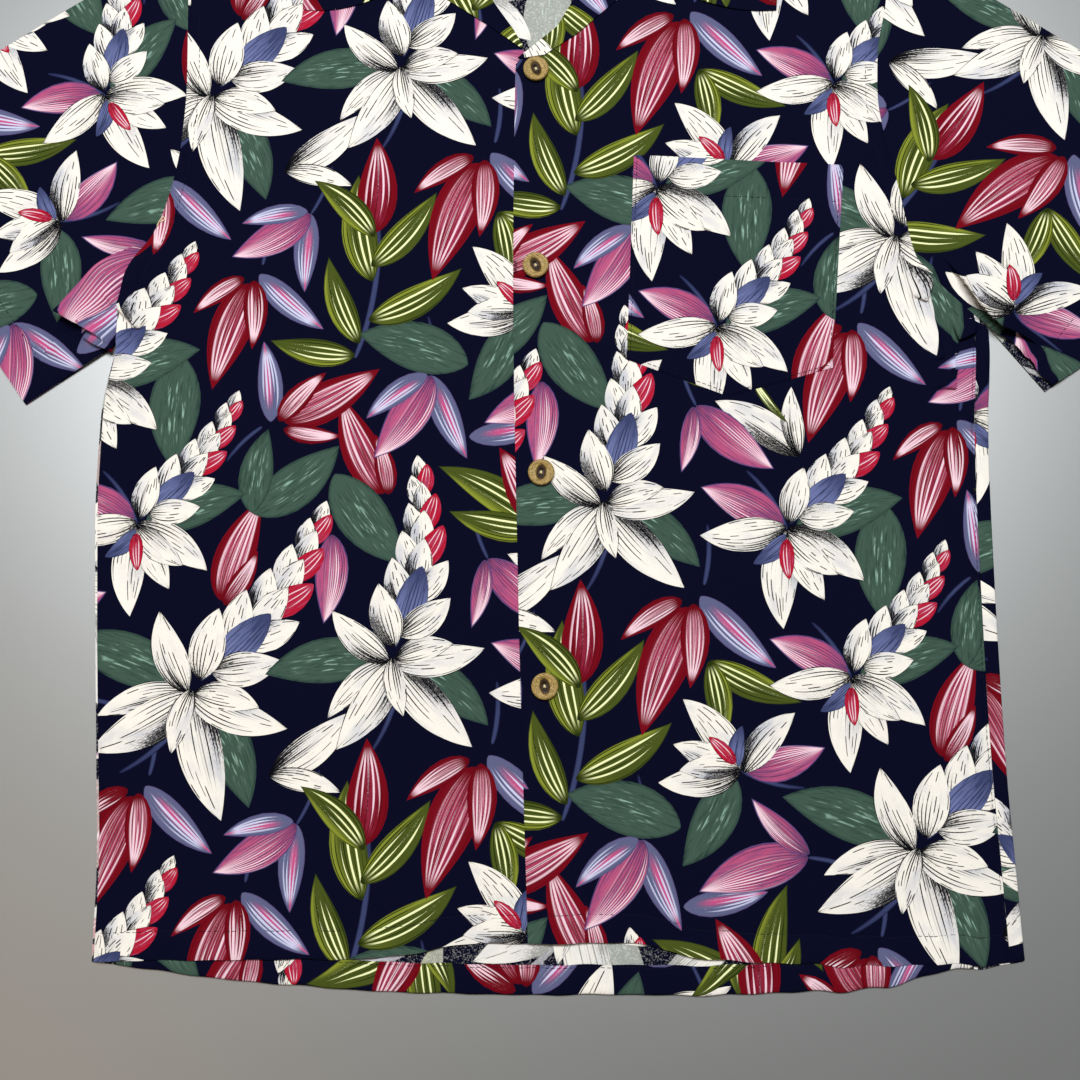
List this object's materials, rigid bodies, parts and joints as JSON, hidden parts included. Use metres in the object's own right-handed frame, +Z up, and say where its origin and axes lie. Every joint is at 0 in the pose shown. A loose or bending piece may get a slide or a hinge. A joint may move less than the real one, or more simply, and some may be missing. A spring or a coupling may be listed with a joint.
{
  "type": "short-sleeved camp collar shirt",
  "caption": "Short-sleeved camp collar shirt with a printed tropical pattern, chest pocket and shell buttons, buttoned and laid flat with its front up.",
  "frame": {"origin": "middle of the laid shirt's outline, on the surface under it", "axes": "+X towards the wearer's left sleeve, +Y towards the collar, +Z up out of the shirt's front"},
  "size_m": [0.867, 0.7382, 0.0069],
  "materials": {
    "printed_cloth": "matt plain-woven rayon with a printed pattern of flowers and leaves on navy",
    "coconut_shell": "satin turned shell with darker flecks and an oval eye"
  },
  "bodies": {
    "root": {"back": "printed_cloth", "front_right": "printed_cloth", "front_left": "printed_cloth", "lapel_right": "printed_cloth", "lapel_left": "printed_cloth", "sleeve_right": "printed_cloth", "sleeve_left": "printed_cloth", "collar": "printed_cloth", "pocket": "printed_cloth", "button_1": "coconut_shell", "button_2": "coconut_shell", "button_3": "coconut_shell", "button_4": "coconut_shell"}
  },
  "joints": []
}
